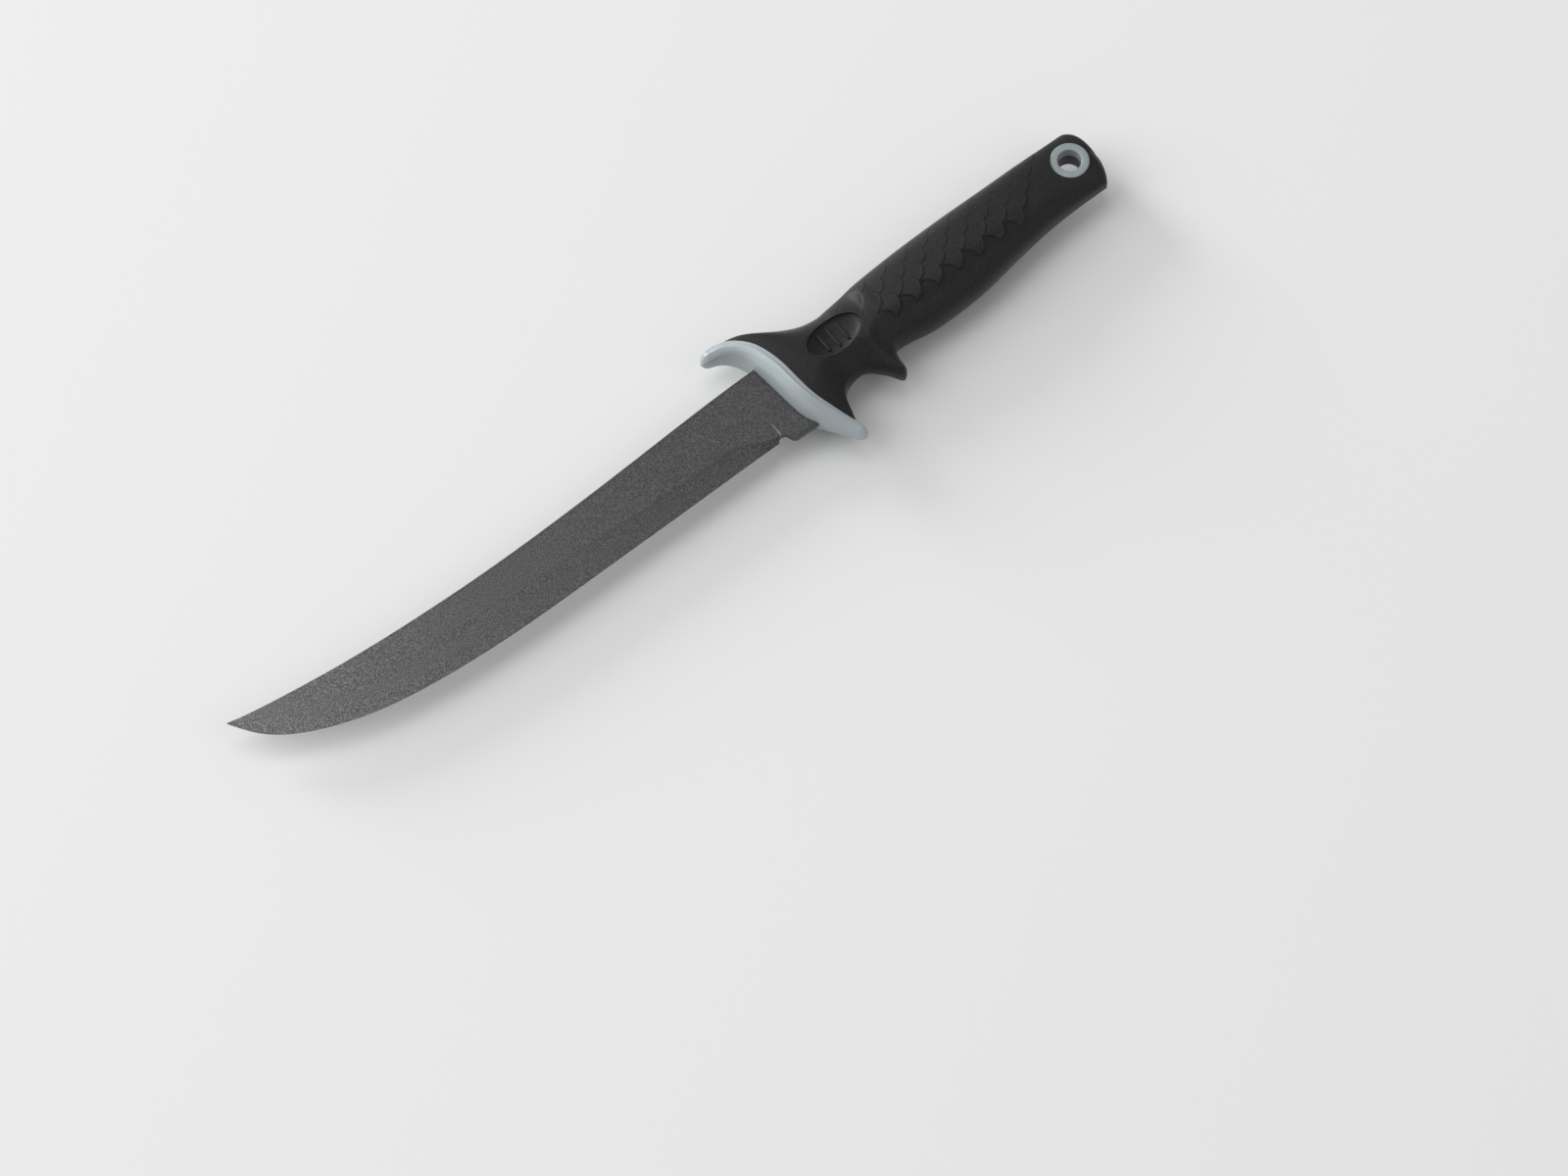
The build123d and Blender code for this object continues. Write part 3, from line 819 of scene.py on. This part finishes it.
makePad(1, "thumb_pad_left")
makePad(-1, "thumb_pad_right")
print("stage: thumb pads")


def makeBushing():
    r, bore, outer, half = bushing["rounding"], bushing["bore"], bushing["outer"], bushing["half"]
    top = half + bushing["proud"]
    quarter = np.linspace(0, np.pi / 2, 7)
    upper = [(bore, 0), (bore, bushing["paintedShadeSleeve"][1]), (bore, top - r)]
    upper += [(bore + r * (1 - np.cos(t)), top - r + r * np.sin(t)) for t in quarter[1:]]
    upper += [(outer - r + r * np.sin(t), top - r + r * np.cos(t)) for t in quarter]
    upper += [(outer, top - 1.3), (outer - 1.6, top - 1.35)]
    profile = upper + [(a, -b) for a, b in upper[:0:-1]]
    piece = latheObject("lanyardRing", profile, bushing["centre"], bushing["segments"])
    piece.data.materials.append(ringPlastic)
    piece.data.materials.append(coreNylon)
    # painted shade: bore faces in this stretch take the dark nylon so the hole looks shaded inside
    lower, upper = bushing["paintedShadeSleeve"]
    middle = Vector(toFrame((*bushing["centre"], 0))) / mm
    for face in piece.data.polygons:
        where = face.center / mm - middle
        if lower < where.z < upper and where.xy.length < bore + 0.05:
            face.material_index = 1
    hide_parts("lanyard_bushing")


makeBushing()
print("stage: lanyard bushing")

# Blade: lines from the spine to the edge, closer together at the notch, the slit and the tip
blade = {
    "length": 225.7,
    # share of the length, spine, grind line, edge, thickness, from the heel to the tip
    "rows": [
        (-0.045, 14.20, -5.80, -14.05, 2.50),
        (0.041, 13.75, -5.80, -14.05, 2.50),
        (0.222, 11.50, -5.65, -14.95, 2.38),
        (0.399, 9.37, -4.50, -15.80, 2.18),
        (0.554, 8.60, -3.10, -16.25, 1.95),
        (0.687, 9.17, -1.15, -14.90, 1.75),
        (0.798, 10.62, 1.70, -11.40, 1.50),
        (0.886, 12.68, 5.65, -5.25, 1.20),
        (0.948, 14.57, 10.40, 2.40, 0.90),
        (0.975, 15.62, 13.00, 8.17, 0.70),
        (1.000, 16.87, 16.71, 16.49, 0.50),
    ],
    "edge": 0.30,
    "heelY": -16.62,
    "notch": [
        (-9.25, -14.05), (-7.75, -12.55), (-5.7, -12.75), (-4.3, -15.6), (-3.4, -16.4), (-2.4, -16.62),
    ],
    "slit": (-7.25, -6.93, -6.8),  # from x, to x, top y
    "grindStart": (-7.8, -24.0, 0.2),  # where the bevel begins, is full height, and its first share of that
    "slitFoot": -12.1,  # where it opens into the notch
    "heelBevel": (0.4, 0.20),  # height and depth of the rounding under the heel
    "tangEnd": 9.0,
    "across": 44,
    "hollow": 0.80,  # 1 is a flat bevel, less is hollow
    "spineRounding": 0.22,
}


def bladeLower(x, rows):
    # lower outline: blunt heel, notch, then the cutting edge
    edge = rows[:, 2]
    notch = np.array(blade["notch"])
    curve = smoothCurve(chordPlaces(notch), notch)(np.linspace(0, chordPlaces(notch)[-1], 400))
    order = np.maximum.accumulate(curve[:, 0])
    low = np.where(x > notch[0, 0], np.interp(x, order, curve[:, 1]), edge)
    return np.where(x > notch[-1, 0], blade["heelY"], low)


def makeBlade():
    table = np.array(blade["rows"])
    curve = smoothCurve(table[:, 0], table[:, 1:])
    left, right, top = blade["slit"]
    hair = 0.004
    tip = blade["length"]
    x = spread([(-tip + 30, 0.8), (-20, 0.5), (-9.6, 0.12), (left - hair, 0.1)])
    x = np.concatenate([x, [left], spread([(right, 0.1), (right + hair, 0.1)])[:1], [right + hair]])
    x = np.concatenate([x, spread([(right + 0.1, 0.12), (-2.0, 0.5), (blade["tangEnd"], 0.5)])])
    front = -tip + 30 * (1 - np.sin(np.linspace(np.pi / 2, 0, 70)))
    x = np.concatenate([front[:-1], x])
    rows = curve(-x / tip)
    low = bladeLower(x, rows)
    inSlit = (x >= left) & (x <= right)
    low = np.where(inSlit, top, low)
    spine, grind, thick = rows[:, 0], rows[:, 1], rows[:, 3]
    v = np.linspace(0, 1, blade["across"])
    v = v + 0.06 * np.sin(2 * np.pi * v)
    y = spine[:, None] * (1 - v) + low[:, None] * v
    # flat side, then a slightly hollow bevel that fades out before the heel
    edgeY = rows[:, 2]
    start, full, least = blade["grindStart"]
    grind = edgeY + (grind - edgeY) * (least + (1 - least) * ease(-x, -start, -full))
    bevel = np.clip((grind[:, None] - y) / (grind - edgeY)[:, None], 0, 1)
    soft = np.sqrt(bevel**2 + 0.0004) - 0.02
    depth = ease(-x, -start, -start + 0.4)[:, None]
    half = thick[:, None] / 2
    z = half - (half - blade["edge"] / 2) * np.clip(soft * 1.02, 0, 1) ** blade["hollow"] * depth
    r = blade["spineRounding"]
    fromSpine = (spine[:, None] - y)
    z = z - np.where(fromSpine < r, r - np.sqrt(np.maximum(r**2 - (r - fromSpine) ** 2, 0)), 0)
    heel = ease(x, -4.4, -3.6)[:, None] * np.clip(1 - (y - low[:, None]) / blade["heelBevel"][0], 0, 1) ** 2
    z = z - np.where(inSlit, 0, 1)[:, None] * heel * blade["heelBevel"][1]
    z = np.maximum(z, 0.05)
    upper = np.stack([np.broadcast_to(x[:, None], y.shape), y, z], -1)
    points = np.concatenate([upper, upper[:, ::-1] * (1, 1, -1)], 1)
    faces = ringFaces(*points.shape[:2])
    piece = meshObject("bladeSteel", points.reshape(-1, 3), faces)
    piece.data.materials.append(coating)
    piece.data.set_sharp_from_angle(angle=np.radians(40))
    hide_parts("blade")


def makeSlitWall():
    # the slit was cut after the coating, so its rear wall is bare and leans back a little
    left, right, top = blade["slit"]
    half = blade["rows"][1][4] / 2
    near, far = left - 0.01, right + 0.1
    section = [(near, -half + 0.05), (far, -half + 0.05), (far, half - 0.03), (near, half - 0.40)]
    points = [(x, y, z) for y in (top - 0.02, blade["slitFoot"]) for x, z in section]
    piece = meshObject("slitWall", points, ringFaces(2, 4))
    piece.data.shade_flat()
    piece.data.materials.append(bareSteel)


makeBlade()
makeSlitWall()
print("stage: blade")

# Hidden pieces keep their own shape
for node, material in (("core", coreNylon), ("tang_rivet", bareSteel)):
    for name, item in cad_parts.items():
        if name.startswith(node):
            item.data.materials.clear()
            item.data.materials.append(material)
print("stage: hidden pieces")

bpy.context.view_layer.update()
